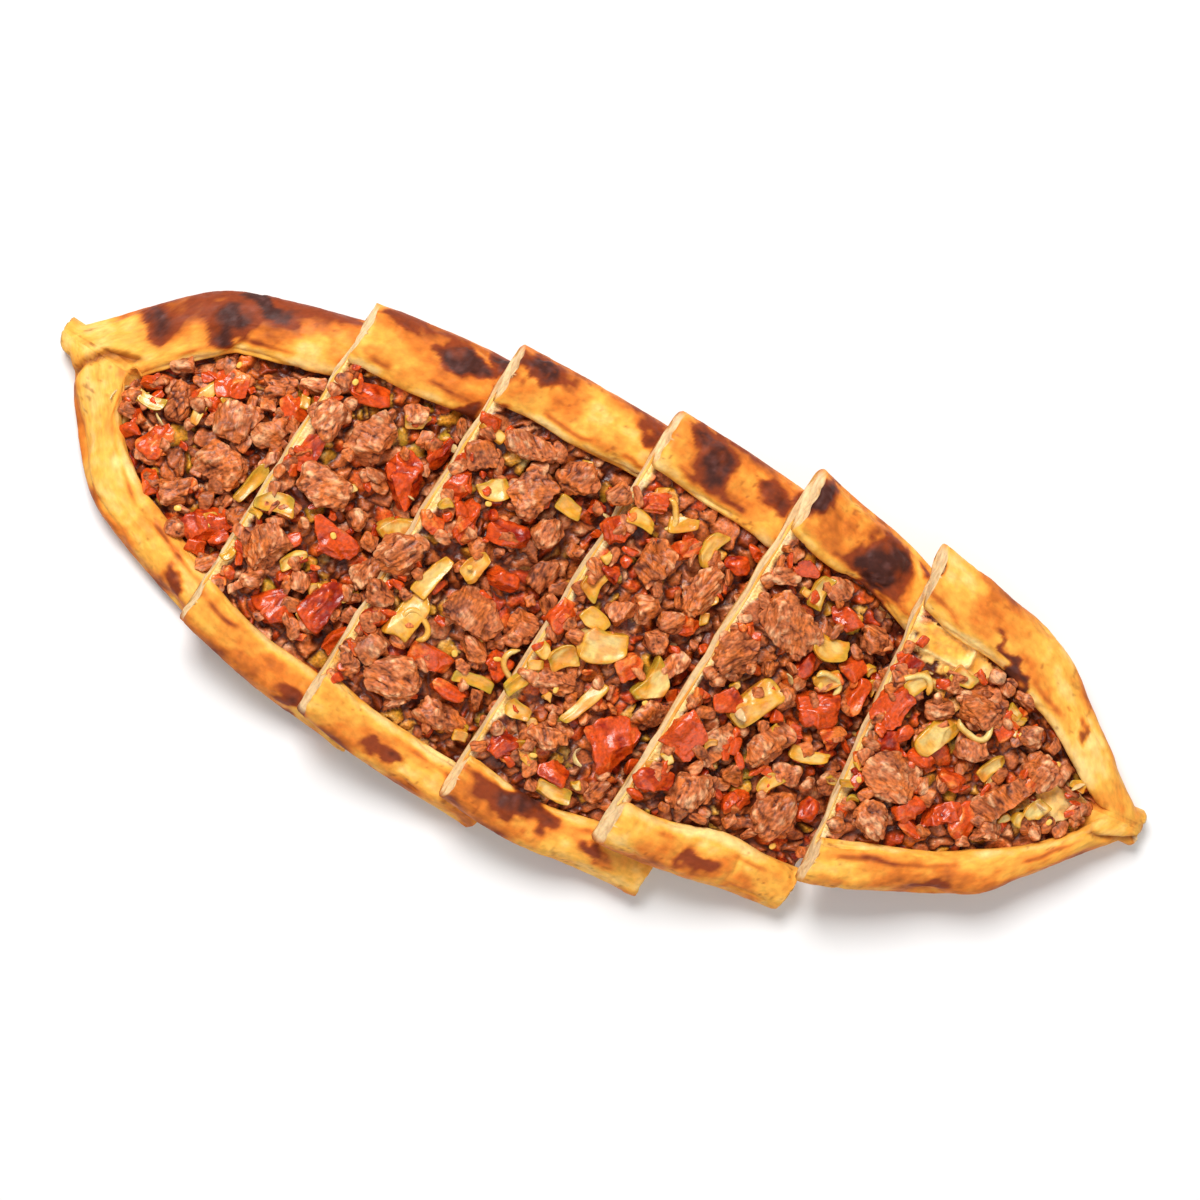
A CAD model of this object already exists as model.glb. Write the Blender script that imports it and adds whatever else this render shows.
"""The looks of a diced meat pide: a boat-shaped flatbread in six overlapping slices.

Shapes are worked out in millimetres in the layout's own frame (+X along the bread, origin
at the layout's middle) and moved to the frame's metres by to_world. Colours are painted on
the meshes' points as a colour attribute, and the materials add fine variation to them.
"""
import math

import bmesh
import bpy
import numpy as np
from mathutils import Matrix, Vector, noise
from mathutils.kdtree import KDTree


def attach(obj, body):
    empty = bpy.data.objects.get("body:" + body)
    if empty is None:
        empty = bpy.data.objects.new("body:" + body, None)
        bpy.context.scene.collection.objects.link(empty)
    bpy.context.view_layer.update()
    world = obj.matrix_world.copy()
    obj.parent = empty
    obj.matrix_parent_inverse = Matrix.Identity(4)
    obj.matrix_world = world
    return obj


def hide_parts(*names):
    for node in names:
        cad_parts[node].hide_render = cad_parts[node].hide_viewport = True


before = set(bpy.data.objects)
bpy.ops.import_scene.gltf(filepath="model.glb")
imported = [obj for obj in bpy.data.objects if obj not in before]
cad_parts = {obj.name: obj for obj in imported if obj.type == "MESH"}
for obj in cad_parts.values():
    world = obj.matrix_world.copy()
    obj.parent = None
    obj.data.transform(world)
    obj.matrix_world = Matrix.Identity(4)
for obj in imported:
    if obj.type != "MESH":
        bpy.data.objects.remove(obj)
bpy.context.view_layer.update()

MM = 0.001

# The bread, as it is built in the frame (millimetres)
LENGTH = 434.0
WIDTH = 136.0
BASE = 4.5
RIM_HEIGHT = 12.5
RIM_WIDTH = {1: 20.0, -1: 15.5}
EDGE_WAVE = (1.6, 34.0)
RIM_WAVE = (1.5, 22.0)
CALM = (4.0, 40.0)
CUTS = (0.0, 90.0, 152.0, 215.0, 281.0, 341.0, LENGTH)
LEFT_TIP = {"reach": 42.0, "pinch": 0.95, "blunt": 5.2, "fold": 1.2}
RIGHT_TIP = {"reach": 60.0, "pinch": 0.80, "blunt": 5.8, "fold": -0.5}
FOLD_REACH = 50.0
TIP_HEIGHT = 0.35
TIP_ROUND = 16.0
END = 2.0
CREASE = 1.0
OPEN_FROM, OPEN_TO = 2.0, 12.0
PRESS = 0.5
SLICES = (
    {"x": -184.0, "y": 4.5, "turn": -7.5, "lean": 0.0},
    {"x": -105.2, "y": -4.0, "turn": -7.0, "lean": 15.4},
    {"x": -61.0, "y": -4.7, "turn": -6.4, "lean": 17.1},
    {"x": -11.0, "y": -5.0, "turn": -6.8, "lean": 14.7},
    {"x": 35.0, "y": -1.0, "turn": -6.4, "lean": 20.0},
    {"x": 87.0, "y": 4.7, "turn": 1.5, "lean": 10.7},
)
LAYOUT_SHIFT = (2.38, 8.08)    # from the layout's middle to the frame's origin

# Colours, as sRGB bytes
CRUST_PALE = (252, 212, 134)
CRUST_GOLD = (246, 178, 70)
CRUST_ORANGE = (222, 122, 38)
CRUST_BROWN = (138, 56, 18)
CHAR = (58, 27, 22)
CHAR_ASH = (104, 66, 62)
CRUMB = (240, 208, 156)
CRUMB_SHADE = (208, 150, 88)
MEAT = (192, 104, 56)
MEAT_DARK = (96, 38, 16)
MEAT_LIGHT = (240, 178, 128)
PEPPERCORN = (40, 20, 14)
TOMATO = (208, 74, 16)
TOMATO_DARK = (142, 28, 6)
TOMATO_BRIGHT = (242, 134, 58)
PEPPER_PALE = (232, 204, 126)
PEPPER_GOLD = (226, 154, 40)
PEPPER_GREEN = (182, 146, 40)
ONION = (214, 176, 140)
SEED = (242, 196, 92)
SAUCE = (158, 66, 20)
SAUCE_DARK = (66, 18, 6)
SAUCE_OIL = (220, 112, 30)


def linear(colour):
    """An sRGB byte colour as linear values."""
    share = np.asarray(colour, float) / 255.0
    return np.where(share <= 0.04045, share / 12.92, ((share + 0.055) / 1.055) ** 2.4)


def mix(first, second, amount):
    """Blend two linear colours, or arrays of them, by an array of shares."""
    amount = np.clip(amount, 0.0, 1.0)[..., None]
    return first * (1.0 - amount) + second * amount


def ramp(amount, *colours):
    """Evenly spaced colours read at shares from 0 to 1."""
    stops = np.array([linear(colour) for colour in colours])
    at = np.clip(amount, 0.0, 1.0) * (len(stops) - 1)
    low = np.minimum(at.astype(int), len(stops) - 2)
    return mix(stops[low], stops[low + 1], at - low)


def smooth(value, low, high):
    """0 below low, 1 above high and a smooth rise between them."""
    share = np.clip((value - low) / (high - low), 0.0, 1.0)
    return share * share * (3.0 - 2.0 * share)


# Noise over arrays of points --------------------------------------------------------------

TABLE = np.random.default_rng(7).random((32, 32, 32)) * 2.0 - 1.0


def lumps(points, size, seed=0.0):
    """Smooth random values between -1 and 1, with lumps about this size across."""
    at = np.asarray(points, float) / size + 17.31 * seed + 5.17
    low = np.floor(at).astype(int)
    part = at - low
    part = part ** 3 * (part * (part * 6.0 - 15.0) + 10.0)
    total = np.zeros(at.shape[:-1])
    for corner in np.ndindex(2, 2, 2):
        cell = (low + corner) % 32
        weight = np.prod(np.where(corner, part, 1.0 - part), axis=-1)
        total += weight * TABLE[cell[..., 0], cell[..., 1], cell[..., 2]]
    return total


def rough(points, size, octaves=3, seed=0.0):
    """Lumps with finer lumps on them."""
    return sum(lumps(points, size / 2 ** k, seed + k) / 2 ** k for k in range(octaves)) / 1.6


# The uncut bread's outline ------------------------------------------------------------------

def scalar_step(value, low, high):
    share = min(1.0, max(0.0, (value - low) / (high - low)))
    return share * share * (3.0 - 2.0 * share)


def wobble(where, size, seed):
    return 1.6 * noise.noise(Vector((where / size, 3.7 * seed, 0.5)))


def tip_near(s):
    return (LEFT_TIP, s) if s < LENGTH / 2 else (RIGHT_TIP, LENGTH - s)


def half_width(s, side):
    u = 2.0 * s / LENGTH - 1.0
    tip, away = tip_near(s)
    near = max(0.0, 1.0 - away / tip["reach"])
    half = WIDTH / 2 * math.sqrt(max(0.0, 1.0 - u * u)) * (1.0 - tip["pinch"] * near * near)
    wander, size = EDGE_WAVE
    return max(half, tip["blunt"]) + wander * wobble(s, size, 2 + side) * scalar_step(away, *CALM)


def rim_width(s, side):
    tip, away = tip_near(s)
    near = max(0.0, 1.0 - away / FOLD_REACH)
    wander, size = RIM_WAVE
    return (RIM_WIDTH[side] + wander * wobble(s, size, 6 + side)) * (1.0 + tip["fold"] * near)


def inner_half(s, side):
    return half_width(s, side) - rim_width(s, side)


def rim_height(s):
    away = tip_near(s)[1]
    rounded = math.sqrt(1.0 - (1.0 - min(1.0, away / TIP_ROUND)) ** 2)
    return RIM_HEIGHT * (TIP_HEIGHT + (1.0 - TIP_HEIGHT) * rounded)


def openness(s):
    return scalar_step(inner_half(s, 1) + inner_half(s, -1), OPEN_FROM, OPEN_TO)


def trough_half(s, side):
    return CREASE + (max(CREASE, inner_half(s, side)) - CREASE) * openness(s)


PLACES = np.arange(0.0, LENGTH + 2.0, 2.0)
EDGES = {side: np.array([half_width(s, side) for s in PLACES]) for side in (1, -1)}
LIPS = {side: np.array([trough_half(s, side) for s in PLACES]) for side in (1, -1)}


def read_sides(table, along, side):
    """Values of a two-sided table of the bread, read at places along it."""
    return np.where(side > 0, np.interp(along, PLACES, table[1]), np.interp(along, PLACES, table[-1]))


def to_world(index):
    """From a slice's own millimetres, measured from its left end, to the frame's metres."""
    place = SLICES[index]
    lean = math.radians(place["lean"])
    lift = (CUTS[index + 1] - CUTS[index]) * math.sin(lean) - (PRESS if lean else 0.0)
    move = Matrix.Translation((place["x"] + LAYOUT_SHIFT[0], place["y"] + LAYOUT_SHIFT[1], lift))
    turn = Matrix.Rotation(math.radians(place["turn"]), 4, "Z")
    return Matrix.Scale(MM, 4) @ move @ turn @ Matrix.Rotation(lean, 4, "Y")


def moved(points, matrix):
    """An array of points through a 4 by 4 matrix."""
    table = np.array(matrix)
    return points @ table[:3, :3].T + table[:3, 3]


def in_layout(points, index):
    """A slice's points in the layout's millimetres."""
    return moved(points, Matrix.Scale(1 / MM, 4) @ to_world(index)) - [*LAYOUT_SHIFT, 0.0]


# Meshes and pieces ------------------------------------------------------------------------

def mesh_of(name, points, faces, colours=None, grain=None):
    """A mesh object from arrays of points and faces, with colours and grain on its points."""
    mesh = bpy.data.meshes.new(name)
    mesh.from_pydata([], [], [])
    mesh.vertices.add(len(points))
    mesh.vertices.foreach_set("co", np.ascontiguousarray(points, np.float32).ravel())
    sizes = np.array([len(face) for face in faces]) if isinstance(faces, list) else None
    corners = np.concatenate(faces) if sizes is not None else np.asarray(faces).ravel()
    if sizes is None:
        sizes = np.full(len(faces), np.asarray(faces).shape[1])
    mesh.loops.add(len(corners))
    mesh.loops.foreach_set("vertex_index", corners.astype(np.int32))
    mesh.polygons.add(len(sizes))
    mesh.polygons.foreach_set("loop_start", (np.cumsum(sizes) - sizes).astype(np.int32))
    mesh.update(calc_edges=True)
    mesh.validate()
    mesh.shade_smooth()
    thing = bpy.data.objects.new(name, mesh)
    bpy.context.scene.collection.objects.link(thing)
    if colours is not None:
        paint(thing, colours, grain)
    return thing


def face_outwards(mesh, join=0.0):
    """Turn a mesh's faces outwards, after joining points closer than this."""
    bm = bmesh.new()
    bm.from_mesh(mesh)
    if join:
        bmesh.ops.remove_doubles(bm, verts=bm.verts, dist=join)
    bmesh.ops.recalc_face_normals(bm, faces=bm.faces)
    bm.to_mesh(mesh)
    bm.free()


def normals_of(thing):
    """The object's point normals as an array."""
    values = np.empty(len(thing.data.vertices) * 3, np.float32)
    thing.data.vertex_normals.foreach_get("vector", values)
    return values.reshape(-1, 3).astype(float)


def points_of(mesh):
    """A mesh's points as an array."""
    values = np.empty(len(mesh.vertices) * 3, np.float32)
    mesh.vertices.foreach_get("co", values)
    return values.reshape(-1, 3).astype(float)


def set_points(thing, points):
    thing.data.vertices.foreach_set("co", np.ascontiguousarray(points, np.float32).ravel())
    thing.data.update()


def paint(thing, colours, grain):
    """Store the points' linear colours, and the millimetre places their fine texture is read at."""
    mesh = thing.data
    solid = np.ones((len(mesh.vertices), 4), np.float32)
    solid[:, :3] = colours
    mesh.color_attributes.new("tint", "FLOAT_COLOR", "POINT").data.foreach_set("color", solid.ravel())
    places = np.ascontiguousarray(grain, np.float32).ravel()
    mesh.attributes.new("grain", "FLOAT_VECTOR", "POINT").data.foreach_set("vector", places)


def piece(thing, material, slot, *nodes):
    """Give a piece its material, its slot and its place in the frame."""
    thing.data.materials.clear()
    thing.data.materials.append(material)
    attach(thing, "root")
    if nodes:
        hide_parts(*nodes)
    return thing


# Materials --------------------------------------------------------------------------------

def food_material(name, roughness, spread, fine, stretch, speckle, bump, coat=0.0, shine=0.4):
    """A food surface: painted colour, fine streaks in it, uneven gloss and a faint bump.

    fine is the streaks' width in millimetres and stretch how many times longer they are.
    """
    material = bpy.data.materials.new(name)
    material.use_nodes = True
    nodes, links = material.node_tree.nodes, material.node_tree.links
    shader = nodes["Principled BSDF"]
    grain = nodes.new("ShaderNodeAttribute")
    grain.attribute_name = "grain"
    along = nodes.new("ShaderNodeMapping")
    along.inputs["Scale"].default_value = (1.0 / stretch, 1.0, 1.0)
    links.new(grain.outputs["Vector"], along.inputs["Vector"])

    def texture(size, detail):
        made = nodes.new("ShaderNodeTexNoise")
        made.inputs["Scale"].default_value = 1.0 / size
        made.inputs["Detail"].default_value = detail
        links.new(along.outputs["Vector"], made.inputs["Vector"])
        return made.outputs["Fac"]

    def spread_out(value, low, high):
        made = nodes.new("ShaderNodeMapRange")
        made.inputs["From Min"].default_value = 0.32
        made.inputs["From Max"].default_value = 0.68
        made.inputs["To Min"].default_value = low
        made.inputs["To Max"].default_value = high
        links.new(value, made.inputs["Value"])
        return made.outputs["Result"]

    tint = nodes.new("ShaderNodeAttribute")
    tint.attribute_name = "tint"
    colour = nodes.new("ShaderNodeVectorMath")
    colour.operation = "SCALE"
    links.new(tint.outputs["Color"], colour.inputs[0])
    streaks = texture(fine, 3.0)
    links.new(spread_out(streaks, 1.0 - speckle, 1.0 + speckle), colour.inputs["Scale"])
    links.new(colour.outputs["Vector"], shader.inputs["Base Color"])
    links.new(spread_out(texture(3.5, 2.0), roughness - spread, roughness + spread),
              shader.inputs["Roughness"])
    relief = nodes.new("ShaderNodeBump")
    relief.inputs["Strength"].default_value = bump
    relief.inputs["Distance"].default_value = 0.0008
    links.new(streaks, relief.inputs["Height"])
    links.new(relief.outputs["Normal"], shader.inputs["Normal"])

    shader.inputs["Coat Weight"].default_value = coat
    shader.inputs["Coat Roughness"].default_value = 0.2
    shader.inputs["Specular IOR Level"].default_value = shine
    shader.inputs["Subsurface Weight"].default_value = 0.10
    shader.inputs["Subsurface Radius"].default_value = (1.0, 0.4, 0.15)
    shader.inputs["Subsurface Scale"].default_value = 0.0015
    return material


# The dough --------------------------------------------------------------------------------

RING_STEP = 0.75               # between the dough's rings, in millimetres
OUTER_SAMPLES = (10, 40)       # under the base, and up the rim's outer side to its crest
CAP_LAYERS = 8
END_SKEW = 0.55                # how far the left end is drawn in on its near side, for each mm across
END_SKEW_REACH = (2.0, 16.0)   # along the bread, where that fades out

# Places on the crust, in layout millimetres: x, y, reach along, reach across, turn, strength
CHAR_MARKS = (
    (-66, 47, 10, 5, 0, 1.00), (-43, 54, 10, 4, 0, 0.85), (-54, 52, 5, 6, 60, 0.95),
    (-8, 52, 7, 4, -30, 0.65), (12, 54, 12, 6, -35, 0.95),
    (34, 50, 6, 5, -15, 0.6), (45, 54, 7, 6, 20, 1.05), (72, 45, 12, 9, -15, 1.10),
    (121, 33, 15, 1.6, -42, 0.8), (146, 27, 6, 1.2, -60, 0.5),
    (-156, 19, 8, 5, 30, 0.85), (-137, 28, 9, 6, 25, 1.05), (-129, 38, 14, 3, 12, 0.95),
    (-119, -52, 6, 4, -30, 0.5), (-60, 34, 5, 3, 0, 0.6), (-71, -67, 7, 4, -10, 0.6),
    (4, -66, 16, 5, 0, 0.72), (58, -58, 8, 3, 5, 0.55), (126, -33, 6, 3, 20, 0.5),
    (-52, 41, 5, 2, 0, 0.6), (-88, 50, 8, 2, 0, 0.55), (86, 55, 4, 4, 0, 0.6),
    (-40, -71, 8, 3, 0, 0.6), (30, -70, 8, 3, 0, 0.5), (-152, -38, 6, 3, -50, 0.4),
)
BROWNED = (
    (-140, 32, 32, 14, 20, 0.60), (-112, 44, 14, 8, 0, 0.35), (-70, 48, 22, 8, 0, 0.25),
    (-38, 50, 20, 8, -10, 0.25), (14, 52, 22, 10, -20, 0.28), (62, 48, 26, 11, -20, 0.32),
    (110, 42, 14, 6, -30, 0.15), (0, -67, 24, 7, 0, 0.30), (-85, -62, 24, 5, 0, 0.25),
    (-40, -68, 22, 5, 0, 0.20), (60, -58, 22, 5, 5, 0.25), (125, -32, 22, 5, 25, 0.20),
    (-168, -18, 12, 5, -60, -0.12), (-150, -30, 20, 6, -50, -0.05), (-168, 10, 10, 8, 0, -0.15),
    (168, 4, 10, 8, 0, -0.15), (150, 22, 12, 6, -50, -0.12),
)
BLISTERS = (
    (45, 54, 4.5, 1.1), (72, 45, 6.5, 1.3), (-66, 47, 5.0, 1.0), (12, 54, 4.5, 0.8),
    (-43, 54, 4.0, 0.8), (-137, 28, 4.5, 0.8), (-156, 19, 3.5, 0.7), (4, -66, 5.0, 0.8),
    (-54, 52, 3.5, 0.9), (34, 50, 3.0, 0.6), (-129, 38, 3.5, 0.6), (126, -33, 3.0, 0.6),
)
# Where one fold ends on the other: the groove's points x, y, and its width and depth
GROOVES = (
    (((-175.5, -8.0), (-171.5, -1.5), (-166.5, 3.5), (-157.0, 5.5)), 1.3, 2.8),
    (((159.0, 2.8), (162.5, 0.2), (166.0, -0.6), (174.0, 1.8), (179.0, 4.5)), 0.9, 1.9),
)
# Places between the rims with no filling: x, y, reach along, reach across, turn
BARE = ((101, 31, 17, 8, -8), (149, 3, 9, 7, 30))


def groove_at(layout, path):
    """How far layout points lie from a path of straight lines."""
    far = np.full(len(layout), 1e9)
    for start, end in zip(path, path[1:]):
        start, run = np.array(start), np.subtract(end, start)
        share = np.clip((layout[:, :2] - start) @ run / (run @ run), 0.0, 1.0)
        far = np.minimum(far, np.linalg.norm(layout[:, :2] - start - share[:, None] * run, axis=1))
    return far


def spline_rows(count, knots):
    """Weights that read a smooth curve through that many knots at the given places."""
    rows = np.zeros((len(knots), count))
    for row, at in enumerate(knots):
        i = min(int(at), count - 2)
        t = at - i
        weights = (
            (-t ** 3 + 2 * t ** 2 - t) / 2, (3 * t ** 3 - 5 * t ** 2 + 2) / 2,
            (-3 * t ** 3 + 4 * t ** 2 + t) / 2, (t ** 3 - t ** 2) / 2,
        )
        for offset, weight in zip((-1, 0, 1, 2), weights):
            rows[row, min(count - 1, max(0, i + offset))] += weight
    return rows


OUTER_OPEN = ((0.60, 0.00), (0.16, 0.00), (0.03, 0.10), (0.00, 0.36), (0.06, 0.70),
              (0.22, 0.93), (0.50, 1.00))
OUTER_SHUT = ((0.60, 0.00), (0.16, 0.00), (0.03, 0.10), (0.00, 0.36), (0.08, 0.64),
              (0.25, 0.83), (0.50, 0.94))
INNER_OPEN = ((0.88, 0.36), (0.94, 0.51), (1.00, 0.66), (0.95, 0.84), (0.78, 0.97), (0.50, 1.00))
INNER_SHUT = ((1.00, 0.94), (0.97, 0.94), (0.94, 0.95), (0.88, 0.96), (0.74, 0.97), (0.50, 0.94))


def rim_knots(s, side):
    """The outer and inner paths' knots (y, z) from the middle up to the rim's crest."""
    half, tall, share, inner = half_width(s, side), rim_height(s), openness(s), trough_half(s, side)
    paths = []
    for opened, shut in ((OUTER_OPEN, OUTER_SHUT), (INNER_OPEN, INNER_SHUT)):
        path = []
        for wide, narrow in zip(opened, shut):
            across = wide[0] * share + narrow[0] * (1.0 - share)
            high = wide[1] * share + narrow[1] * (1.0 - share)
            path.append((side * (half - across * (half - inner)), high * tall))
        paths.append(path)
    outer, rim = paths
    outer = [(0.0, 0.0), (outer[0][0] * 0.5, 0.0)] + outer
    rim = [(0.0, rim[0][1]), (rim[0][0] * 0.4, rim[0][1]), (rim[0][0] * 0.8, rim[0][1])] + rim
    return outer, rim


def dough_grid(index):
    """The slice's points by (station, side, path, sample), and the stations."""
    first = max(END, CUTS[index])
    last = min(LENGTH - END, CUTS[index + 1])
    stations = np.linspace(first, last, round((last - first) / RING_STEP) + 1)
    below, up = OUTER_SAMPLES
    rows = spline_rows(9, np.concatenate([np.linspace(0, 3, below, endpoint=False), np.linspace(3, 8, up)]))
    grid = np.zeros((len(stations), 2, 2, below + up, 3))
    for i, s in enumerate(stations):
        for j, side in enumerate((1, -1)):
            for k, knots in enumerate(rim_knots(s, side)):
                grid[i, j, k, :, 1:] = rows @ np.array(knots)
    grid[..., 0] = (stations - CUTS[index])[:, None, None, None]
    return grid, stations


def sheet_faces(ids):
    """Quads over a grid of point numbers."""
    return np.stack([ids[:-1, :-1], ids[1:, :-1], ids[1:, 1:], ids[:-1, 1:]], -1).reshape(-1, 4)


def marks_at(points, marks):
    """How strongly the marks lie on layout points: the strongest of their soft ellipses."""
    total, paler = np.zeros(len(points)), np.zeros(len(points))
    for x, y, along, across, turn, strength in marks:
        c, s = math.cos(math.radians(turn)), math.sin(math.radians(turn))
        dx, dy = points[:, 0] - x, points[:, 1] - y
        far = np.hypot((dx * c + dy * s) / along, (dy * c - dx * s) / across)
        value = strength * (1.0 - smooth(far, 0.35, 1.25))
        total, paler = np.maximum(total, value), np.minimum(paler, value)
    return total + paler


def dough(index):
    """One slice: rims with wrinkles and blisters, browned crust and torn crumb at the cuts."""
    grid, stations = dough_grid(index)
    count, samples = len(stations), grid.shape[3]
    ids = np.arange(count * 4 * samples).reshape(count, 2, 2, samples)
    points = [grid.reshape(-1, 3)]
    faces = []
    for j in (0, 1):
        for k in (0, 1):
            flip = (j + k) % 2 == 0
            quads = sheet_faces(ids[:, j, k])
            faces.append(quads[:, ::-1] if flip else quads)
    start = count * 4 * samples
    crumb_from = start
    for end, row in ((0, 0), (1, count - 1)):
        for j in (0, 1):
            layers = [ids[row, j, 0]]
            for layer in range(1, CAP_LAYERS):
                share = layer / CAP_LAYERS
                between = grid[row, j, 0] * (1 - share) + grid[row, j, 1] * share
                points.append(between)
                layers.append(np.arange(start, start + samples))
                start += samples
            layers.append(ids[row, j, 1])
            quads = sheet_faces(np.array(layers))
            faces.append(quads if (j + end) % 2 == 0 else quads[:, ::-1])
    points = np.concatenate(points)
    thing = mesh_of(f"dough_{index + 1}_look", points, np.concatenate(faces))
    crumb = np.zeros(len(points))
    crumb[crumb_from:] = 1.0
    held = thing.data.attributes.new("crumb", "FLOAT", "POINT")
    held.data.foreach_set("value", crumb)
    face_outwards(thing.data, join=0.004)
    relief_and_bake(thing, index)
    return thing


def relief_and_bake(thing, index):
    """Push the crust's relief out along its normals, and paint its baking."""
    points, normals = points_of(thing.data), normals_of(thing)
    crumb = np.empty(len(points), np.float32)
    thing.data.attributes["crumb"].data.foreach_get("value", crumb)
    along = points + [CUTS[index], 0.0, 0.0]
    side = np.sign(points[:, 1])
    half = read_sides(EDGES, along[:, 0], side)
    from_edge = np.abs(points[:, 1]) - half
    on_top = smooth(normals[:, 2], -0.2, 0.4) * smooth(points[:, 2], BASE + 1.0, BASE + 3.5)
    layout = in_layout(points, index)
    ends = np.minimum(points[:, 0], CUTS[index + 1] - CUTS[index] - points[:, 0])
    away = smooth(ends, 0.0, 1.2)

    # relief
    turned = np.stack([along[:, 0] / 3.2, from_edge * side, points[:, 2]], -1)
    flow = turned * [1.7, 1.0, 1.0]
    fold = lumps(flow, 8.0, 3)
    crease = np.exp(-(fold / 0.14) ** 2) * smooth(lumps(along, 18.0, 5), -0.2, 0.4)
    swell = 1.1 * lumps(along, 16.0, 1) + 0.55 * lumps(flow, 6.5, 2)
    lift = on_top * (swell - 0.7 * crease) + 0.16 * rough(along, 2.6, 3, 8)
    pores = smooth(lumps(along, 1.8, 9), 0.45, 0.9)
    lift -= 0.3 * pores * on_top
    for x, y, reach, high in BLISTERS:
        far = np.hypot(layout[:, 0] - x, layout[:, 1] - y) / reach + 0.35 * lumps(along, 4.0, 13)
        dome = np.sqrt(np.clip(1.0 - far ** 2, 0.0, 1.0)) * high
        crack = np.exp(-((lumps(along, 5.0, 14) * 3.0) / 0.25) ** 2) * (far < 0.8)
        lift += on_top * (dome - 0.5 * crack * high)
    if index == 0:
        points[:, 0] += END_SKEW * np.maximum(0.0, -points[:, 1]) * (1.0 - smooth(along[:, 0], *END_SKEW_REACH))
    seam = np.zeros(len(points))
    for path, width, depth in GROOVES:
        near = np.exp(-(groove_at(layout, path) / width) ** 2) * on_top
        lift -= depth * near
        seam = np.maximum(seam, near)
    cut = crumb * (0.5 * rough(points, 2.2, 3, 21) - 0.5 * smooth(lumps(points, 1.6, 23), 0.2, 0.8))
    edge = (1.0 - away) * (1.0 - crumb)
    lift = lift * (0.35 + 0.65 * away) * (1.0 - crumb) + cut
    bare_under = smooth(0.6 - points[:, 2], 0.0, 0.6)
    lift *= 1.0 - bare_under * (1.0 - crumb)
    points = points + normals * lift[:, None]
    points[:, 0] += (edge + crumb) * 1.0 * rough(along * [0.0, 1.0, 1.0], 6.0, 3, 31)

    # baking
    high = points[:, 2] / RIM_HEIGHT
    bake = 0.41 + 0.28 * rough(along, 15.0, 3, 41) + 0.22 * rough(flow, 5.0, 3, 44)
    bake += 0.14 * rough(along, 2.6, 2, 43) - 0.10 * crease * on_top
    bake -= 0.16 * smooth(-normals[:, 2], 0.1, 0.9) * (points[:, 2] > 1.0)
    lip = np.abs(points[:, 1]) - read_sides(LIPS, along[:, 0], side)
    open_here = smooth(read_sides(LIPS, along[:, 0], side), 2.0, 6.0)
    pale = np.exp(-((lip - 0.9) / 1.5) ** 2) * on_top * open_here
    bake -= 0.30 * pale * smooth(lumps(along, 11.0, 46), -0.7, 0.0)
    stripe = np.exp(-((lip - 4.0 - 1.2 * lumps(along, 8.0, 50)) / 0.9) ** 2) * on_top * open_here
    bake += 0.42 * stripe * smooth(lumps(along, 9.0, 48), -0.15, 0.45)
    outer = np.exp(-((from_edge + 0.6) / 2.6) ** 2)
    bake += 0.40 * outer * smooth(lumps(along, 13.0, 49), -0.5, 0.4)
    ragging = np.stack([rough(along, 8.0, 3, 61), rough(along, 8.0, 3, 62), np.zeros(len(points))], -1)
    bake += marks_at(layout + 6.0 * ragging, BROWNED)
    marks = marks_at(layout + 5.0 * ragging, CHAR_MARKS)
    ragged = marks * (1.0 + 0.5 * rough(along, 5.0, 3, 47)) + 0.10 * rough(along, 1.8, 2, 53) * (marks > 0)
    bake += 0.75 * smooth(ragged, 0.0, 0.62)
    colours = ramp(bake, CRUST_PALE, CRUST_GOLD, CRUST_ORANGE, CRUST_BROWN)
    dark = 0.92 * smooth(ragged, 0.40, 0.95) * smooth(points[:, 2], 4.0, 8.0)
    ash = smooth(rough(along, 2.2, 3, 54), -0.1, 0.6)
    colours = mix(colours, mix(linear(CHAR), linear(CHAR_ASH), 0.6 * ash), dark)
    colours = mix(colours, linear(CRUST_BROWN), 0.75 * seam)
    flecks = smooth(lumps(along, 1.3, 51), 0.55, 0.8) * smooth(lumps(along, 12.0, 52), -0.2, 0.5)
    colours = mix(colours, linear(CRUST_BROWN), 0.55 * flecks * on_top)
    under = smooth(0.9 - points[:, 2], 0.0, 0.8) * (1.0 - crumb)
    baked = ramp(0.45 + 0.5 * rough(along, 14.0, 4, 55), CRUST_PALE, CRUST_GOLD, CRUST_ORANGE, CRUST_BROWN)
    colours = mix(colours, baked, under)
    floor = smooth(BASE + 1.0 - points[:, 2], 0.0, 0.6) * (points[:, 2] > BASE - 1.0) * (lip < 3.0)
    stained = ramp(0.5 + 0.6 * rough(along, 4.0, 3, 57), CRUST_PALE, CRUST_GOLD, SAUCE_OIL)
    colours = mix(colours, stained, floor * (1.0 - crumb))
    holes = smooth(lumps(points, 1.6, 23), 0.1, 0.8)
    inside = mix(np.broadcast_to(linear(CRUMB), points.shape), linear(CRUMB_SHADE), 0.75 * holes)
    stain = smooth(lumps(points, 3.4, 24) + 0.25 * (points[:, 2] - BASE), 0.0, 0.7) * (lip < 1.0)
    inside = mix(inside, linear(SAUCE_OIL), 0.75 * stain)
    colours = mix(colours, inside, crumb)
    set_points(thing, points)
    thing.data.transform(to_world(index))
    world = points_of(thing.data)
    world[:, 2] = np.maximum(world[:, 2], 0.0)
    set_points(thing, world)
    thing.data.attributes.remove(thing.data.attributes["crumb"])
    paint(thing, colours, np.where(crumb[:, None] > 0.5, points, turned * [3.2, 1.0, 1.0]))


# The filling's bed ------------------------------------------------------------------------

BED_TOP = 7.6
BED_STEP = 0.65
CELL = 4.4                     # size of the crushed bits in the bed


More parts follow.
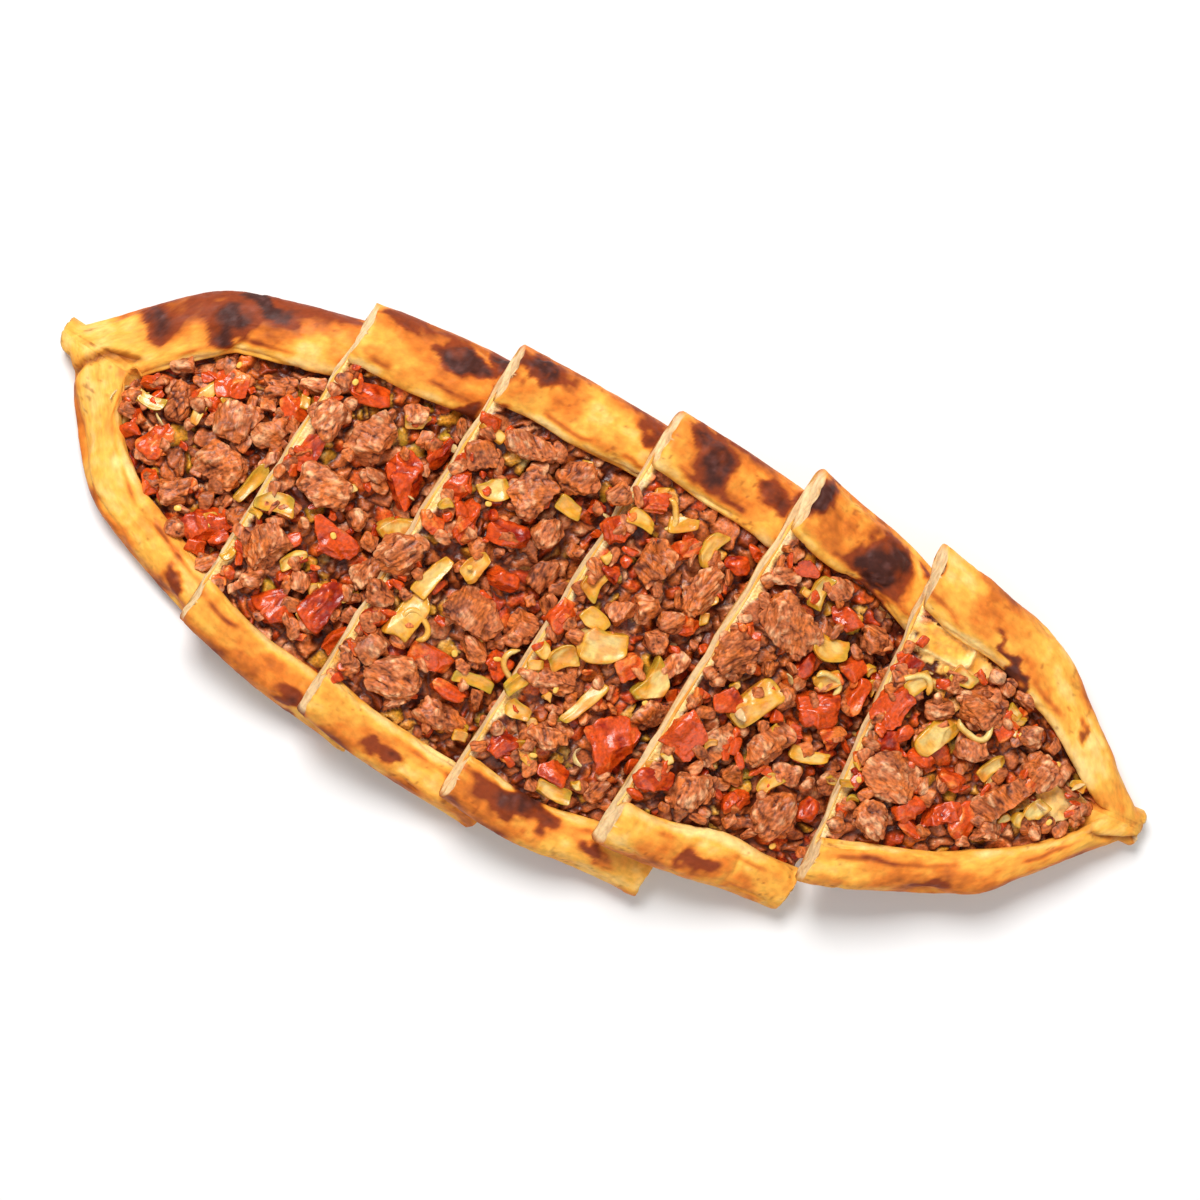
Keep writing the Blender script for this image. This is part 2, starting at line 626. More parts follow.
def bed_cells(index):
    """Random crushed bits over the slice: a tree to find the nearest, and each one's traits."""
    random = np.random.default_rng(100 + index)
    long = CUTS[index + 1] - CUTS[index]
    count = int(long * WIDTH / CELL ** 2)
    spots = random.uniform((0.0, -WIDTH / 2), (long, WIDTH / 2), (count, 2))
    tree = KDTree(count)
    for i, (x, y) in enumerate(spots):
        tree.insert((x, y, 0.0), i)
    tree.balance()
    return tree, spots, random.random((count, 5))


def bed(index):
    """Sauce with crushed bits of meat, tomato and pepper, between the rims."""
    first, last = CUTS[index], CUTS[index + 1]
    wide = [s for s in np.arange(max(first, END), last, 0.5) if openness(s) == 1.0]
    first, last = max(first + 0.5, wide[0] - 3.0), min(last - 0.5, wide[-1] + 3.0)
    stations = np.linspace(first, last, round((last - first) / BED_STEP) + 1)
    columns = round(2 * 50.0 / BED_STEP)
    share = np.linspace(0.0, 1.0, columns)
    low = np.array([-trough_half(s, -1) - 0.6 for s in stations])
    high = np.array([trough_half(s, 1) + 0.6 for s in stations])
    y = low[:, None] * (1 - share) + high[:, None] * share
    x = np.broadcast_to((stations - CUTS[index])[:, None], y.shape)
    flat = np.stack([x, y, np.zeros_like(x)], -1).reshape(-1, 3)

    tree, spots, traits = bed_cells(index)
    warp = flat + np.stack([lumps(flat, 3.0, 1), lumps(flat, 3.0, 2), 0 * flat[:, 0]], -1) * 1.4
    near = np.zeros((len(flat), 2))
    which = np.zeros(len(flat), int)
    for i, place in enumerate(warp):
        found = tree.find_n((place[0], place[1], 0.0), 2)
        which[i] = found[0][1]
        near[i] = found[0][2], found[1][2]
    trait = traits[which]
    between = near[:, 1] - near[:, 0]
    dome = smooth(between, 0.0, 1.5)
    tilt = ((flat[:, :2] - spots[which]) * (trait[:, 3:] - 0.5)).sum(1) * 0.7
    edge = np.minimum(share, 1.0 - share)[None, :] * (high - low)[:, None]
    edge = smooth(edge.ravel(), 0.0, 5.0)
    coarse = rough(flat, 1.9, 3, 6)
    height = BED_TOP - 2.4 + 0.9 * lumps(flat, 14.0, 4) + dome * (0.9 + 1.8 * trait[:, 1] + tilt)
    height += 0.65 * coarse
    height = height * (0.90 + 0.10 * edge)

    kind = trait[:, 0]
    tone = 0.55 * coarse + 0.5 * (trait[:, 2] - 0.5)
    sauce = ramp(0.5 + 0.6 * rough(flat, 7.0, 3, 9), SAUCE_DARK, SAUCE, SAUCE_OIL)
    meat = ramp(0.48 + tone, MEAT_DARK, MEAT, MEAT, MEAT_LIGHT)
    tomato = ramp(0.45 + tone, TOMATO_DARK, TOMATO, TOMATO_BRIGHT)
    pepper = ramp(0.40 + tone, PEPPER_GREEN, PEPPER_GOLD, PEPPER_PALE)
    bits = np.where((kind < 0.60)[:, None], meat, np.where((kind < 0.86)[:, None], tomato, pepper))
    oily = smooth(lumps(flat, 6.0, 16), -0.2, 0.6)
    bits = mix(bits, linear(SAUCE_OIL), 0.35 * oily)
    colours = mix(sauce, bits, smooth(between, 0.2, 0.9) * (trait[:, 2] > 0.1))
    colours = mix(colours, linear(SAUCE_DARK), 0.85 * (1.0 - dome) + 0.35 * smooth(-coarse, 0.1, 0.8))
    if index:
        front = 1.0 - smooth(flat[:, 0] - 2.2 - 1.8 * rough(flat * [0.0, 1.0, 0.0], 6.0, 3, 19), -0.4, 0.5)
        height = height * (1.0 - front) + (BASE + 0.9 + 0.4 * coarse) * front
        stained = ramp(0.30 + 0.7 * rough(flat, 3.6, 3, 20), CRUMB, CRUST_PALE, CRUST_GOLD, SAUCE_OIL)
        colours = mix(colours, stained, front)
    layout = in_layout(flat, index)
    grain = flat.copy()
    for x, y, along, across, turn in BARE:
        bare = smooth(marks_at(layout + 4.0 * coarse[:, None], ((x, y, along, across, turn, 1.0),)), 0.3, 0.5)
        folds = 0.8 * ridges(layout * [0.6, 1.0, 1.0], 7.0, 17) ** 2 + 0.4 * lumps(layout, 4.0, 21)
        height = height * (1.0 - bare) + (BED_TOP - 1.6 + 2.2 * folds + 0.2 * coarse) * bare
        bread = ramp(0.62 - 0.5 * folds + 0.3 * rough(layout, 7.0, 3, 18), CRUMB, CRUST_PALE, CRUST_GOLD,
                     CRUST_ORANGE)
        colours = mix(colours, bread, bare)
        grain = grain * (1.0 - 0.7 * bare[:, None])

    rows = len(stations)
    top = np.stack([flat[:, 0], flat[:, 1], height], -1)
    ids = np.arange(rows * columns).reshape(rows, columns)
    rim = np.concatenate([ids[:, 0], ids[-1, 1:], ids[-2::-1, -1], ids[0, -2:0:-1]])
    under = top[rim] * [1.0, 1.0, 0.0] + [0.0, 0.0, BASE + 0.1]
    below = np.arange(len(under)) + len(top)
    after = np.roll(np.arange(len(rim)), -1)
    skirt = np.stack([rim, rim[after], below[after], below], -1)
    faces = [*sheet_faces(ids), *skirt, below]
    thing = mesh_of(
        f"filling_{index + 1}_look", np.concatenate([top, under]), faces,
        np.concatenate([colours, colours[rim] * 0.7]), np.concatenate([grain, grain[rim]]),
    )
    face_outwards(thing.data)
    thing.data.transform(to_world(index))
    return thing


# Chunks -----------------------------------------------------------------------------------

def cube_template(cuts):
    """Points from -1 to 1 and quads of a cube with its faces divided."""
    bm = bmesh.new()
    bmesh.ops.create_cube(bm, size=2.0)
    bmesh.ops.subdivide_edges(bm, edges=bm.edges[:], cuts=cuts, use_grid_fill=True)
    bm.verts.index_update()
    points = np.array([v.co for v in bm.verts])
    faces = np.array([[v.index for v in f.verts] for f in bm.faces])
    bm.free()
    return points, faces


FINE, PLAIN, SMALL, TINY = cube_template(22), cube_template(11), cube_template(5), cube_template(2)


def block(template, size, square, random, facets=4, depth=(0.72, 0.95)):
    """A rounded block of this size, with knife-cut facets; square sets how boxy it is."""
    points, faces = template
    way = points / np.linalg.norm(points, axis=1, keepdims=True)
    reach = (np.abs(way) ** square).sum(1) ** (-1.0 / square)
    shape = way * reach[:, None]
    for _ in range(facets):
        normal = random.normal(size=3)
        normal /= np.linalg.norm(normal)
        over = np.maximum(0.0, shape @ normal - random.uniform(*depth))
        shape = shape - over[:, None] * normal
    return shape * np.array(size) / 2, way, faces


def ridges(points, size, seed):
    """Sharp-crested random folds: 1 on their crests, falling to 0."""
    return 1.0 - np.minimum(1.0, 2.2 * np.abs(lumps(points, size, seed)))


def meat_chunk(template, size, random):
    """A diced piece of meat: craggy fibres with dark oily gaps between them."""
    shape, way, faces = block(template, size, random.uniform(3.0, 5.0), random, 6, (0.62, 0.92))
    seed = random.uniform(0, 50)
    tilt = Matrix.Rotation(random.uniform(0, math.pi), 3, "Z") @ Matrix.Rotation(0.5, 3, "Y")
    grain = shape @ np.array(tilt)
    fibre = lumps(grain * [0.25, 1.0, 1.0], 1.3, seed)
    coarse = lumps(shape, 4.0, seed + 3)
    gaps = ridges(grain * [0.30, 1.0, 1.0], 2.4, seed + 7) ** 4
    crumbly = rough(shape, 1.4, 2, seed + 9)
    small = min(1.0, min(size) / 7.0)
    lift = 0.85 * coarse + 0.38 * fibre - 0.75 * gaps + 0.48 * crumbly
    shape = shape + way * (small * lift)[:, None]
    tone = 0.60 + 0.32 * fibre + 0.22 * coarse + 0.46 * crumbly - 0.62 * gaps
    tone += random.uniform(-0.14, 0.12)
    colours = ramp(tone, MEAT_DARK, MEAT, MEAT, MEAT_LIGHT)
    browned = smooth(lumps(shape, 6.0, seed + 11), 0.1, 0.7)
    colours = mix(colours, linear(MEAT_DARK), 0.35 * browned)
    oiled = smooth(lumps(shape, 3.4, seed + 13), -0.1, 0.5)
    colours = mix(colours, linear(SAUCE_OIL), 0.45 * oiled)
    specks = smooth(lumps(shape, 0.9, seed + 15), 0.66, 0.8)
    return shape, faces, mix(colours, linear(PEPPERCORN), 0.55 * specks), grain


def tomato_chunk(template, size, random):
    """A crushed tomato piece: flat angular sides, crumpled skin and wet red flesh."""
    shape, way, faces = block(template, size, random.uniform(3.0, 6.0), random, 8, (0.50, 0.90))
    seed = random.uniform(0, 50)
    small = min(1.0, min(size) / 5.0)
    crumple = ridges(shape * [0.6, 1.0, 0.8], 5.0, seed)
    fold = lumps(shape * [0.7, 1.0, 1.0], 3.0, seed + 2)
    wet = rough(shape, 1.4, 2, seed + 4)
    lift = 0.9 * crumple ** 2 + 0.55 * fold + 0.38 * wet - 0.4
    shape = shape + way * (small * lift)[:, None]
    tone = 0.46 + 0.30 * lumps(shape, 4.5, seed + 6) + 0.36 * wet + 0.20 * crumple ** 3
    tone += random.uniform(-0.24, 0.28)
    return shape, faces, ramp(tone, TOMATO_DARK, TOMATO, TOMATO, TOMATO_BRIGHT), shape


def pepper_chunk(template, size, random):
    """A flat cut piece of pepper: translucent pale flesh, edged with olive skin."""
    shape, way, faces = block(template, size, 7.0, random, 3, (0.70, 0.95))
    seed = random.uniform(0, 50)
    share = shape / (np.array(size) / 2)
    shape[:, 1] *= 1.0 + random.uniform(-0.3, 0.3) * share[:, 0]
    shape[:, 0] += random.uniform(-0.25, 0.25) * shape[:, 1]
    shape[:, 1] += random.uniform(-0.3, 0.3) * size[1] * share[:, 0] ** 2
    rise = random.uniform(0.5, 1.5) * min(1.0, size[1] / 7.0)
    shape[:, 2] += rise * (share[:, 0] ** 2 - 0.4) + rise * (share[:, 1] ** 2 - 0.4)
    shape += way * (0.40 * rough(shape, 3.0, 2, seed + 2))[:, None]
    edge = smooth(np.abs(share[:, :2]).max(1), 0.50, 1.0)
    tone = 0.66 + 0.55 * rough(shape, 3.4, 2, seed + 3) - 0.55 * edge + random.uniform(-0.30, 0.12)
    colours = ramp(tone, PEPPER_GREEN, PEPPER_GOLD, PEPPER_PALE, PEPPER_PALE)
    colours = mix(colours, linear(PEPPER_GOLD), random.uniform(0.0, 0.5))
    rusty = smooth(lumps(shape, 3.4, seed + 5), 0.0, 0.6)
    return shape, faces, mix(colours, linear(SAUCE_OIL), 0.45 * rusty), shape


CHUNKS = {"meat": meat_chunk, "tomato": tomato_chunk, "pepper": pepper_chunk}


def node_frame(name, index):
    """A CAD topping's own axes in the frame: its middle, its turned slice axes, its size."""
    corners = points_of(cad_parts[name].data) / MM
    up = np.array(to_world(index).to_3x3()) / MM
    up /= np.linalg.norm(up, axis=0)
    own = corners @ up
    middle = (own.max(0) + own.min(0)) / 2
    flat = own[:, :2] - middle[:2]
    best = None
    for degrees in range(0, 180, 4):
        c, s = math.cos(math.radians(degrees)), math.sin(math.radians(degrees))
        long, wide = flat @ [c, s], flat @ [-s, c]
        size = (np.ptp(long), np.ptp(wide))
        if best is None or size[0] * size[1] < best[0]:
            best = (size[0] * size[1], degrees, size)
    _, degrees, size = best
    turn = Matrix.Rotation(math.radians(degrees), 3, "Z")
    return up @ middle, up @ np.array(turn), (*size, np.ptp(own[:, 2]))


def large_toppings(materials):
    """Each CAD topping replaced by a detailed piece of its kind, in its place and size."""
    for name in sorted(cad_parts):
        kind, tag = name.split("_")
        if kind not in CHUNKS:
            continue
        index = int(tag[0]) - 1
        middle, axes, size = node_frame(name, index)
        random = np.random.default_rng([ord(letter) for letter in name])
        shape, faces, colours, grain = CHUNKS[kind](FINE, np.array(size) * 1.06, random)
        thing = mesh_of(f"{name}_look", (shape @ axes.T + middle) * MM, faces, colours, grain)
        piece(thing, materials[kind], kind, name)


# Smaller toppings --------------------------------------------------------------------------

# Seen from above, in layout millimetres: kind, x, y, length, width, turn
SMALL_TOPPINGS = (
    (
        ("meat", -144, 10, 7, 6, 20), ("meat", -111, 3, 11, 8, 50), ("meat", -116, 11, 6, 5, 0),
        ("meat", -108, -5, 7, 6, 30), ("meat", -110, -24, 7, 6, 80), ("meat", -112, -41, 8, 6, 10),
        ("meat", -103, -41, 7, 6, 50), ("tomato", -138, -25, 11, 7, 120), ("meat", -106, 22, 8, 6, 0),
        ("tomato", -130, 3, 7, 6, 60), ("tomato", -118, -38, 9, 6, 0), ("tomato", -108, 13, 9, 8, 40),
        ("pepper", -148, -4, 9, 4, 10), ("pepper", -134, 3, 15, 4, 80), ("pepper", -110, -13, 14, 4, 75),
        ("tomato", -150, 2, 7, 5, 0), ("tomato", -112, -32, 8, 6, 30), ("meat", -126, -35, 8, 6, 0),
    ),
    (
        ("meat", -73, 27, 9, 6, 10), ("meat", -76, -9, 7, 6, 40), ("meat", -84, -33, 7, 6, 0),
        ("tomato", -88, 26, 13, 7, 10), ("tomato", -62, 20, 12, 7, 80), ("tomato", -97, 3, 14, 7, 70),
        ("tomato", -87, -43, 13, 10, 40), ("tomato", -67, -45, 11, 7, 80), ("pepper", -100, -15, 12, 6, 10),
        ("pepper", -72, 25, 8, 4, 30), ("meat", -96, -38, 8, 6, 20), ("meat", -67, -22, 9, 7, 50),
        ("tomato", -60, -30, 9, 7, 10), ("meat", -64, -36, 8, 7, 0), ("pepper", -88, -28, 9, 4, 40),
    ),
    (
        ("meat", -50, 24, 11, 9, 20), ("meat", -23, 12, 11, 9, 60), ("meat", -19, 0, 12, 9, 80),
        ("meat", -28, -29, 10, 8, 10), ("meat", -18, -18, 12, 8, 80), ("meat", -56, -41, 13, 9, 80),
        ("meat", -29, -52, 17, 8, 0), ("tomato", -52, 34, 8, 7, 0), ("tomato", -52, 14, 11, 8, 80),
        ("tomato", -55, -1, 8, 7, 0), ("tomato", -33, 6, 14, 8, 10), ("tomato", -29, -7, 11, 7, 0),
        ("tomato", -38, -38, 14, 9, 10), ("tomato", -30, -44, 12, 6, 0), ("tomato", -20, -31, 9, 8, 60),
        ("tomato", -13, 24, 8, 6, 0), ("pepper", -42, 16, 10, 7, 50), ("pepper", -48, -15, 15, 5, 80),
        ("pepper", -38, -7, 10, 6, 70), ("pepper", -20, 21, 9, 5, 0), ("pepper", -24, -38, 13, 4, 10),
        ("meat", -60, -26, 10, 8, 0), ("tomato", -58, -33, 9, 7, 60), ("meat", -12, -8, 8, 7, 0),
    ),
    (
        ("meat", 13, 4, 9, 8, 50), ("meat", 7, -1, 9, 8, 80), ("meat", 28, -26, 12, 8, 60),
        ("tomato", 4, 33, 10, 8, 10), ("tomato", -1, 9, 7, 6, 0), ("tomato", -8, -8, 12, 8, 80),
        ("tomato", 17, 24, 10, 9, 40), ("tomato", 9, -52, 10, 8, 0), ("tomato", -9, -51, 10, 8, 60),
        ("tomato", 28, 4, 8, 7, 0), ("tomato", 33, 27, 8, 7, 30), ("pepper", 1, 27, 9, 5, 0),
        ("pepper", 13, 31, 9, 5, 20), ("pepper", 23, 28, 12, 5, 80), ("pepper", -4, 4, 9, 6, 70),
        ("pepper", 1, -6, 9, 6, 0), ("pepper", -3, -20, 9, 7, 50), ("pepper", -11, -31, 12, 5, 60),
        ("pepper", 9, -30, 17, 4, 75), ("pepper", -8, -40, 8, 5, 0), ("pepper", -2, -50, 9, 6, 10),
        ("pepper", 12, -58, 11, 5, 0), ("meat", 20, -4, 9, 8, 20), ("meat", 29, -8, 9, 7, 70),
        ("meat", 22, 3, 8, 7, 0), ("tomato", 17, -14, 9, 7, 40), ("meat", 24, -52, 9, 7, 20),
        ("meat", 36, -44, 9, 7, 60), ("meat", -8, 31, 8, 7, 40),
    ),
    (
        ("meat", 47, 30, 9, 6, 0), ("meat", 63, 33, 9, 7, 20), ("meat", 62, -2, 8, 7, 30),
        ("meat", 49, -24, 15, 9, 75), ("meat", 80, 25, 9, 8, 40), ("tomato", 52, 35, 9, 6, 0),
        ("tomato", 69, 26, 12, 7, 10), ("tomato", 78, 15, 10, 8, 70), ("tomato", 47, -10, 12, 9, 30),
        ("tomato", 81, -7, 11, 9, 40), ("tomato", 38, -42, 14, 9, 20), ("tomato", 62, -36, 10, 8, 30),
        ("tomato", 84, -31, 9, 7, 80), ("tomato", 82, 7, 12, 7, 80), ("tomato", 69, -10, 8, 6, 0),
        ("pepper", 58, 30, 11, 5, 80), ("pepper", 68, 16, 12, 8, 0), ("pepper", 77, -16, 13, 4, 10),
        ("pepper", 72, 7, 9, 5, 30), ("pepper", 69, -28, 8, 5, 60), ("meat", 73, -23, 9, 7, 10),
        ("meat", 58, -30, 8, 6, 0), ("tomato", 64, 8, 9, 7, 50), ("meat", 86, -20, 9, 8, 30),
    ),
    (
        ("meat", 128, 28, 8, 6, -20), ("meat", 119, 7, 9, 8, 50), ("meat", 134, 18, 8, 6, 0),
        ("meat", 121, 29, 7, 6, 0), ("tomato", 95, -3, 10, 9, 20), ("tomato", 126, 18, 9, 8, 50),
        ("tomato", 118, -4, 9, 6, 0), ("tomato", 127, -13, 12, 9, 70), ("tomato", 114, -22, 10, 6, 0),
        ("tomato", 140, 4, 10, 5, 75), ("pepper", 96, 18, 9, 5, 50), ("pepper", 108, 25, 8, 5, 0),
        ("pepper", 127, 5, 10, 4, 50), ("pepper", 145, -1, 8, 6, 80),
        ("tomato", 110, -16, 12, 8, 50), ("meat", 105, 14, 9, 7, 30), ("meat", 134, -13, 9, 7, 30),
        ("tomato", 92, 20, 9, 7, 80), ("tomato", 107, -1, 9, 6, 0),
    ),
)
SMALL_HEIGHT = {"meat": 5.8, "tomato": 4.4, "pepper": 2.0}
SMALL_SEAT = {"meat": 8.8, "tomato": 9.0, "pepper": 9.9}


def on_slice(index, x, y, z, turn):
    """The frame matrix of a place above the layout's (x, y), at height z in the slice."""
    own = Matrix.Translation((-LAYOUT_SHIFT[0], -LAYOUT_SHIFT[1], 0.0))
    own = own @ Matrix.Scale(1 / MM, 4) @ to_world(index)
    back = own.inverted()
    low = back @ Vector((x, y, 0.0))
    step = back @ Vector((x, y, 1.0)) - low
    spot = low + step * (z - low.z) / step.z
    turned = math.radians(turn - SLICES[index]["turn"])
    return to_world(index) @ Matrix.Translation(spot) @ Matrix.Rotation(turned, 4, "Z")


class Heap:
    """Meshes of one kind gathered into one piece."""

    def __init__(self):
        self.points, self.faces, self.colours, self.grain, self.count = [], [], [], [], 0

    def add(self, shape, faces, colours, grain, matrix):
        self.points.append(moved(shape, matrix))
        self.faces.append(faces + self.count)
        self.colours.append(colours)
        self.grain.append(grain + 3.0 * len(self.grain))
        self.count += len(shape)

    def thing(self, name):
        return mesh_of(
            name, np.concatenate(self.points), np.concatenate(self.faces),
            np.concatenate(self.colours), np.concatenate(self.grain),
        )


def small_toppings(materials):
    """The smaller diced pieces between the large ones, one piece for each kind."""
    heaps = {kind: Heap() for kind in CHUNKS}
    random = np.random.default_rng(5)
    for index, row in enumerate(SMALL_TOPPINGS):
        for kind, x, y, length, width, turn in row:
            size = (length, width, SMALL_HEIGHT[kind] * random.uniform(0.9, 1.25))
            made = CHUNKS[kind](PLAIN, size, random)
            seat = SMALL_SEAT[kind] + random.uniform(-0.5, 0.7)
            place = on_slice(index, x, y, seat, turn + random.uniform(-12, 12))
            sway = Matrix.Rotation(random.uniform(-0.25, 0.25), 4, "X")
            heaps[kind].add(*made, place @ sway)
    for kind, heap in heaps.items():
        piece(heap.thing(f"{kind}_diced"), materials[kind], kind)


# Crumbs, rings, seeds and specks ------------------------------------------------------------

# Kind, how many on a slice, how many at its raised edge, and their sizes in millimetres
CRUMBS = (("meat", 70, 14, 3.0, 6.6), ("tomato", 34, 8, 2.6, 6.2), ("pepper", 10, 2, 2.6, 5.0))


def scattered_places(index, count, random, margin=3.0):
    """Random places over the slice's open trough, with how far they are from its rims."""
    found = []
    while len(found) < count:
        s = random.uniform(CUTS[index], CUTS[index + 1])
        if openness(s) < 1.0:
            continue
        y = random.uniform(-trough_half(s, -1) + margin, trough_half(s, 1) - margin)
        found.append((s - CUTS[index], y))
    return found


def dropped(index, x, y, heights, sways, random):
    """The frame matrix of a bit dropped on the filling and turned at random."""
    place = Matrix.Translation((x, y, random.uniform(*heights)))
    turn = Matrix.Rotation(random.uniform(0, 6.3), 4, "Z")
    sway = Matrix.Rotation(random.uniform(*sways), 4, "X") if sways else Matrix()
    return to_world(index) @ place @ turn @ sway


def crumbs(materials):
    """Small bits of each kind between the diced pieces, and hanging over the raised cut edges."""
    random = np.random.default_rng(11)
    for kind, count, at_edge, low, high in CRUMBS:
        heap = Heap()
        for index in range(len(SLICES)):
            places = scattered_places(index, count, random)
            if index:
                places += [(random.uniform(0.8, 4.0), y) for _, y in scattered_places(index, at_edge, random)]
            for x, y in places:
                spot = to_world(index) @ Vector((x, y, BED_TOP)) / MM - Vector((*LAYOUT_SHIFT, 0.0))
                if marks_at(np.array([spot]), [(*bare, 1.0) for bare in BARE])[0] > 0.75:
                    continue
                size = random.uniform(low, high, 3) * (1.1, 0.8, 0.6)
                made = CHUNKS[kind](SMALL, size, random)
                heap.add(*made, dropped(index, x, y, (8.0, 10.4), (-0.5, 0.5), random))
        piece(heap.thing(f"{kind}_crumbs"), materials[kind], kind)


# Thin rings and curls of pepper: layout x, y, radius, arc in degrees, turn
RINGS = (
    (117, 15, 5.0, 330, 0), (-47, -31, 4.5, 220, 60), (96, 16, 4.5, 180, 90), (-12, -28, 6.0, 140, 200),
    (6, 31, 4.5, 150, 20), (72, 5, 4.5, 170, 70),
)


def slice_under(x):
    """The slice that shows at this x of the layout."""
    return max(i for i, place in enumerate(SLICES) if x > place["x"] or i == 0)


def curl(radius, arc, wide, thick, random):
    """A thin curled strip standing on its edge, as arrays."""
    along = max(8, int(arc / 9))
    angles = np.radians(np.linspace(-arc / 2, arc / 2, along))
    around = np.linspace(0, 2 * math.pi, 9)[:-1]
    swell = 1.0 + 0.12 * np.sin(angles * 3.0 + random.uniform(0, 6))
    taper = np.clip(np.minimum(np.arange(along), np.arange(along)[::-1]) / 1.5, 0.3, 1.0)
    r = (radius * swell)[:, None] + thick / 2 * taper[:, None] * np.cos(around)
    z = wide / 2 * taper[:, None] * np.sin(around)
    points = np.stack([r * np.cos(angles)[:, None], r * np.sin(angles)[:, None], z], -1)
    ids = np.arange(along * 8).reshape(along, 8)
    ids = np.concatenate([ids, ids[:, :1]], 1)
    quads = sheet_faces(ids)
    ends = []
    for row in (ids[0, :8], ids[-1, 7::-1]):
        ends += [[row[0], row[1], row[2], row[3]], [row[0], row[3], row[4], row[7]],
                 [row[4], row[5], row[6], row[7]]]
    return points.reshape(-1, 3), np.concatenate([quads, ends]), np.tile(np.cos(around), along)


def rings(materials):
    """Rings and curls of thin-sliced pepper."""
    random = np.random.default_rng(23)
    heap = Heap()
    for x, y, radius, arc, turn in RINGS:
        index = slice_under(x)
        shape, faces, outside = curl(radius, arc, random.uniform(2.2, 3.0), 2.0, random)
        tone = 0.5 + 0.5 * lumps(shape, 6.0, random.uniform(0, 9))
        colours = ramp(tone, PEPPER_GOLD, PEPPER_PALE, PEPPER_PALE)
        colours = mix(colours, linear(PEPPER_GOLD), 0.8 * smooth(outside, 0.2, 0.9))
        sway = Matrix.Rotation(random.uniform(-0.3, 0.3), 4, "X")
        heap.add(shape, faces, colours, shape, on_slice(index, x, y, 10.9, turn) @ sway)
    thing = heap.thing("pepper_rings")
    piece(thing, materials["pepper"], "pepper")


def onions(materials):
    """Pale slivers of onion."""
    random = np.random.default_rng(29)
    heap = Heap()
    for index in range(len(SLICES)):
        for x, y in scattered_places(index, 2, random, 6.0):
            shape, faces, outside = curl(
                random.uniform(6.0, 10.0), random.uniform(50, 80), random.uniform(2.4, 3.4), 0.9, random
            )
            tone = 0.5 + 0.5 * lumps(shape, 3.0, random.uniform(0, 9))
            colours = ramp(tone, PEPPER_PALE, ONION)
            heap.add(shape, faces, colours, shape, dropped(index, x, y, (9.5, 11.0), (0.6, 1.5), random))
    piece(heap.thing("onion_slivers"), materials["pepper"], "pepper")


def seeds(materials):
    """Flat yellow seeds on the filling."""
    random = np.random.default_rng(31)
    heap = Heap()
    for index in range(len(SLICES)):
        for x, y in scattered_places(index, 5, random):
            size = (random.uniform(2.0, 2.8), random.uniform(1.5, 2.1), 0.8)
            shape, _, faces = block(TINY, size, 2.2, random, 0)
            colours = ramp(0.5 + 0.5 * lumps(shape, 1.5, random.uniform(0, 9)), CRUST_GOLD, SEED)
            heap.add(shape, faces, colours, shape, dropped(index, x, y, (9.8, 11.4), None, random))
    piece(heap.thing("seeds"), materials["seed"], "pepper")


# The scene --------------------------------------------------------------------------------

CAMERA_TURN = 25.3             # degrees
CAMERA_HEIGHT = 0.90           # above the filling, in metres
FILLING_HEIGHT = 0.016
SEEN_WIDTH = 0.360             # across the picture at the filling, in metres


def camera():
    """Straight above the bread, turned so that the bread runs down to the right."""
    data = bpy.data.cameras.new("camera")
    data.sensor_width = 36.0
    data.lens = data.sensor_width / (SEEN_WIDTH / CAMERA_HEIGHT)
    made = bpy.data.objects.new("camera", data)
    made.location = (LAYOUT_SHIFT[0] * MM, LAYOUT_SHIFT[1] * MM, CAMERA_HEIGHT + FILLING_HEIGHT)
    made.rotation_euler = (0.0, 0.0, math.radians(CAMERA_TURN))
    bpy.context.scene.collection.objects.link(made)
    bpy.context.scene.camera = made


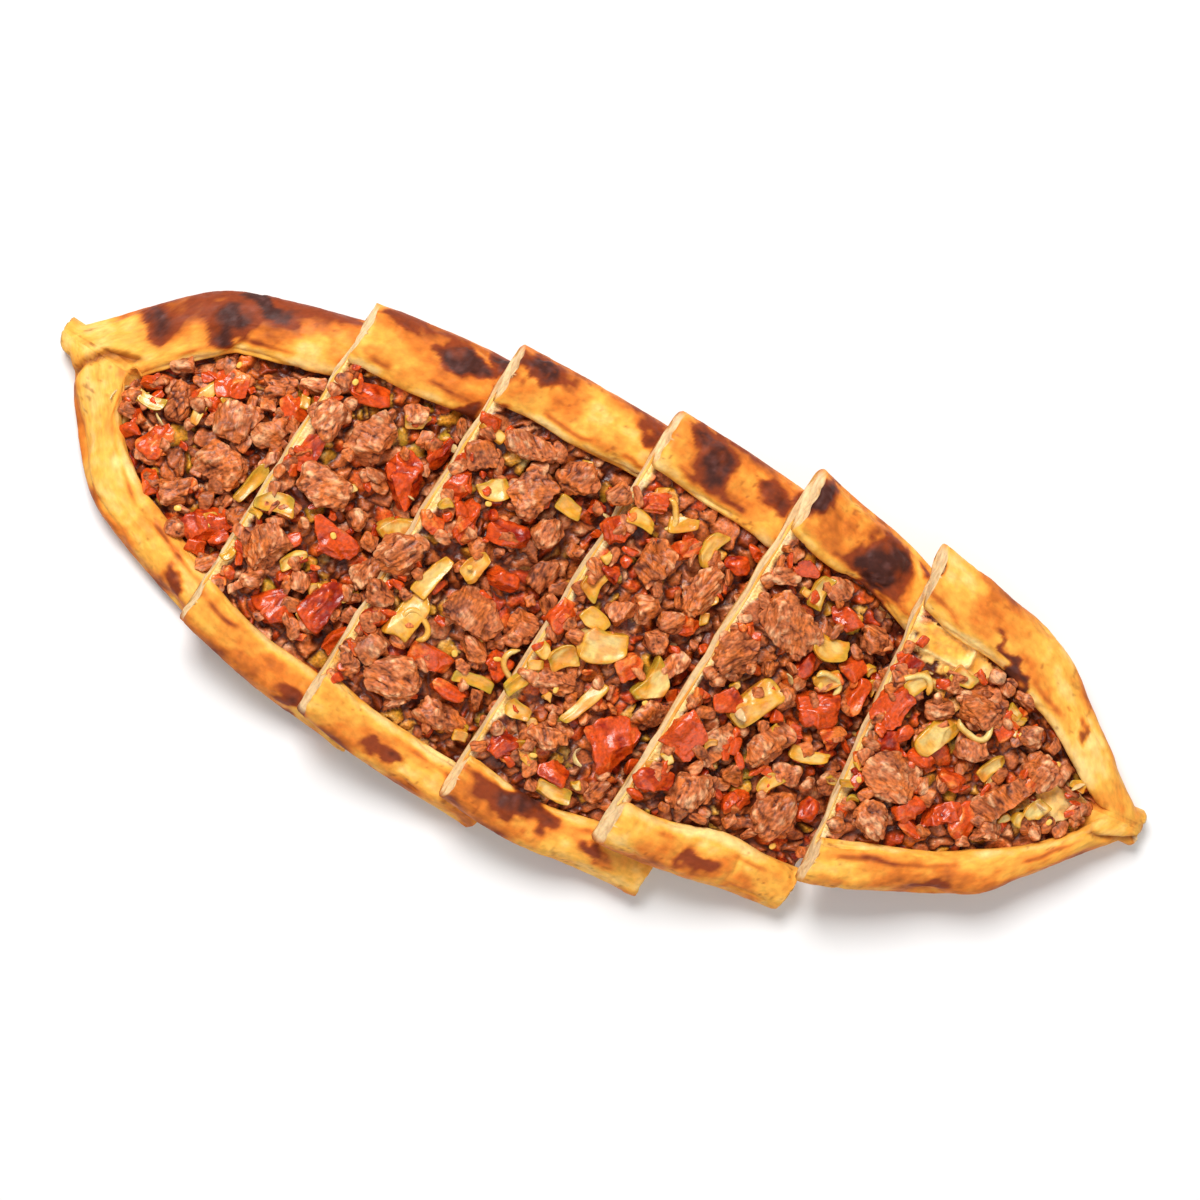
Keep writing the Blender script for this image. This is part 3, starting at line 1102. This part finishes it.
def lamp(name, place, size, power):
    """A soft square lamp that points at the middle of the bread."""
    data = bpy.data.lights.new(name, "AREA")
    data.size = size
    data.energy = power
    made = bpy.data.objects.new(name, data)
    made.location = place
    made.rotation_mode = "QUATERNION"
    made.rotation_quaternion = Vector(place).to_track_quat("Z", "Y")
    bpy.context.scene.collection.objects.link(made)


def studio():
    """A pale floor, a soft key lamp, a weaker fill and an even sky."""
    bpy.ops.mesh.primitive_plane_add(size=6.0, location=(0.0, 0.0, -0.0002))
    floor = bpy.context.object
    floor.name = "floor"
    paper = bpy.data.materials.new("floor")
    paper.use_nodes = True
    shader = paper.node_tree.nodes["Principled BSDF"]
    shader.inputs["Base Color"].default_value = (0.86, 0.855, 0.85, 1.0)
    shader.inputs["Roughness"].default_value = 0.7
    floor.data.materials.append(paper)
    lamp("key", (-0.35, 0.50, 1.00), 0.5, 15.0)
    lamp("fill", (0.6, -0.5, 0.9), 0.9, 3.5)
    world = bpy.data.worlds.new("sky")
    world.use_nodes = True
    world.node_tree.nodes["Background"].inputs["Color"].default_value = (1.0, 1.0, 1.0, 1.0)
    world.node_tree.nodes["Background"].inputs["Strength"].default_value = 0.33
    bpy.context.scene.world = world
    bpy.context.scene.view_settings.view_transform = "Standard"


def main():
    materials = {
        "dough": food_material("crust", 0.60, 0.10, 1.5, 1.3, 0.13, 0.22, 0.0, 0.22),
        "filling": food_material("sauce", 0.42, 0.12, 0.8, 1.0, 0.35, 0.25, 0.10, 0.35),
        "meat": food_material("meat", 0.46, 0.12, 0.8, 3.0, 0.45, 0.40, 0.06, 0.30),
        "tomato": food_material("tomato", 0.26, 0.10, 0.9, 1.2, 0.28, 0.20, 0.15, 0.40),
        "pepper": food_material("pepper", 0.26, 0.08, 1.2, 1.5, 0.16, 0.15, 0.15, 0.45),
        "seed": food_material("seed", 0.45, 0.08, 0.6, 1.0, 0.08, 0.10, 0.0, 0.40),
    }
    for index in range(len(SLICES)):
        piece(dough(index), materials["dough"], "dough", f"dough_{index + 1}")
        piece(bed(index), materials["filling"], "filling", f"filling_{index + 1}")
    large_toppings(materials)
    small_toppings(materials)
    crumbs(materials)
    rings(materials)
    onions(materials)
    seeds(materials)
    studio()
    camera()


main()
